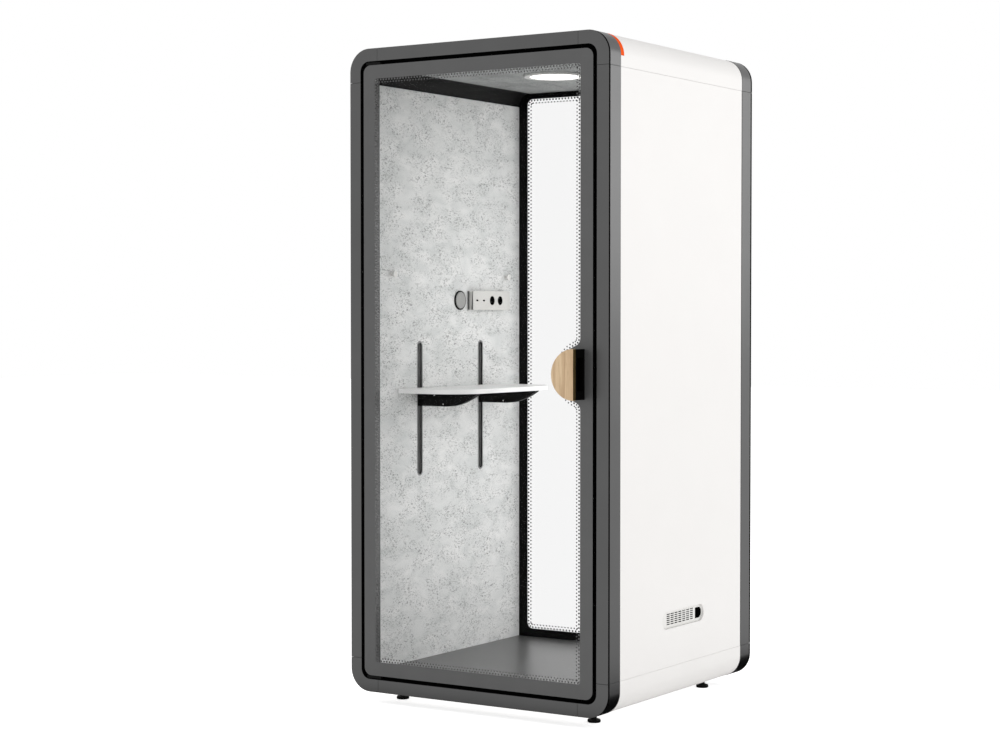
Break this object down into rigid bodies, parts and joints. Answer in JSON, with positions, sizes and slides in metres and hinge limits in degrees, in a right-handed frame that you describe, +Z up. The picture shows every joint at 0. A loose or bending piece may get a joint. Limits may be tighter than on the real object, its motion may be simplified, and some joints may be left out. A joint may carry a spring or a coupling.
{
  "type": "acoustic office pod",
  "caption": "Acoustic office pod for a standing user: rounded portal frames, white panels, glass pivot door with half-round handle, felt-lined cabin with adjustable desk, lamp and vent.",
  "frame": {"origin": "on the floor, under the middle of the plan box, which includes the door handle", "axes": "+Z up, the glass door faces -Y, the desk is on the -X wall, the vent is in the +X side"},
  "size_m": [1.05, 1.125, 2.3],
  "materials": {
    "frame_paint": "satin powder coat",
    "white_panel": "satin laminate",
    "orange_accent": "satin",
    "grey_felt": "needle felt with dark flecks",
    "ceiling_felt": "needle felt",
    "black_trim": "satin black",
    "board": "raw plywood",
    "carpet": "short pile",
    "grey_plastic": "satin",
    "glass": "clear, with a printed border",
    "black_rubber": "matte",
    "black_metal": "satin powder coat",
    "handle_wood": "oiled, upright grain",
    "desk_laminate": "white laminate",
    "rail_aluminium": "satin anodised",
    "lamp_white": "opal"
  },
  "bodies": {
    "pod": {"front_frame_corner_bottom_left": "frame_paint", "front_frame_corner_bottom_right": "frame_paint", "front_frame_corner_top_left": "frame_paint", "front_frame_corner_top_right": "frame_paint", "front_frame_rail_left": "frame_paint", "front_frame_rail_right": "frame_paint", "front_frame_rail_top": "frame_paint", "front_frame_rail_bottom": "frame_paint", "rear_frame_corner_bottom_left": "frame_paint", "rear_frame_corner_bottom_right": "frame_paint", "rear_frame_corner_top_left": "frame_paint", "rear_frame_corner_top_right": "frame_paint", "rear_frame_rail_left": "frame_paint", "rear_frame_rail_right": "frame_paint", "rear_frame_rail_top": "frame_paint", "rear_frame_rail_bottom": "frame_paint", "side_panel_left": "white_panel", "side_panel_right": "white_panel", "roof_panel": "white_panel", "base_panel": "white_panel", "edge_skin_bottom_left": "white_panel", "edge_skin_bottom_right": "white_panel", "edge_skin_top_left": "white_panel", "edge_skin_top_right": "white_panel", "accent_strip": "orange_accent", "felt_wall_left": "grey_felt", "felt_wall_right": "grey_felt", "ceiling_lining": "ceiling_felt", "cove_left": "black_trim", "cove_right": "black_trim", "floor_deck": "board", "carpet": "carpet", "lamp_driver": "grey_plastic", "rear_glass": "glass", "rear_glazing_bead": "black_rubber", "door_seal": "black_rubber", "desk_rail_front": "rail_aluminium", "desk_rail_rear": "rail_aluminium", "socket_box": "grey_plastic", "dial_bezel": "black_trim", "coat_peg_front": "grey_plastic", "coat_peg_rear": "grey_plastic", "lamp_ring": "lamp_white", "lamp_diffuser": "lamp_white", "vent_grille": "grey_plastic", "fan_housing": "black_trim"},
    "door": {"door_glass": "glass", "pivot_shoe_top": "black_metal", "pivot_shoe_bottom": "black_metal", "handle_face": "handle_wood", "handle_body": "black_trim"},
    "desk": {"desk_top": "desk_laminate", "desk_bracket_front": "black_metal", "desk_bracket_rear": "black_metal"},
    "fan": {"fan_rotor": "black_trim"},
    "dial": {"dial_knob": "grey_plastic"},
    "foot_front_left": {"foot_front_left": "black_trim"},
    "foot_front_right": {"foot_front_right": "black_trim"},
    "foot_rear_left": {"foot_rear_left": "black_trim"},
    "foot_rear_right": {"foot_rear_right": "black_trim"}
  },
  "joints": [
    {"name": "door_swing", "type": "hinge", "parent": "pod", "child": "door", "pos_m": [-0.446, -0.4825, 1.17], "axis": [0, 0, -1], "range_deg": [0, 105]},
    {"name": "desk_height", "type": "slide", "parent": "pod", "child": "desk", "axis": [0, 0, 1], "range_m": [-0.235, 0.165]},
    {"name": "fan_spin", "type": "hinge", "parent": "pod", "child": "fan", "pos_m": [0.48, 0.0075, 0.318], "axis": [1, 0, 0], "continuous": true},
    {"name": "dial_turn", "type": "hinge", "parent": "pod", "child": "dial", "pos_m": [-0.45, 0.0955, 1.424], "axis": [1, 0, 0], "range_deg": [-150, 150]},
    {"name": "foot_front_left_turn", "type": "hinge", "parent": "pod", "child": "foot_front_left", "pos_m": [-0.395, -0.3555, 0.02], "axis": [0, 0, 1], "continuous": true},
    {"name": "foot_front_right_turn", "type": "hinge", "parent": "pod", "child": "foot_front_right", "pos_m": [0.395, -0.3555, 0.02], "axis": [0, 0, 1], "continuous": true},
    {"name": "foot_rear_left_turn", "type": "hinge", "parent": "pod", "child": "foot_rear_left", "pos_m": [-0.395, 0.4305, 0.02], "axis": [0, 0, 1], "continuous": true},
    {"name": "foot_rear_right_turn", "type": "hinge", "parent": "pod", "child": "foot_rear_right", "pos_m": [0.395, 0.4305, 0.02], "axis": [0, 0, 1], "continuous": true}
  ]
}
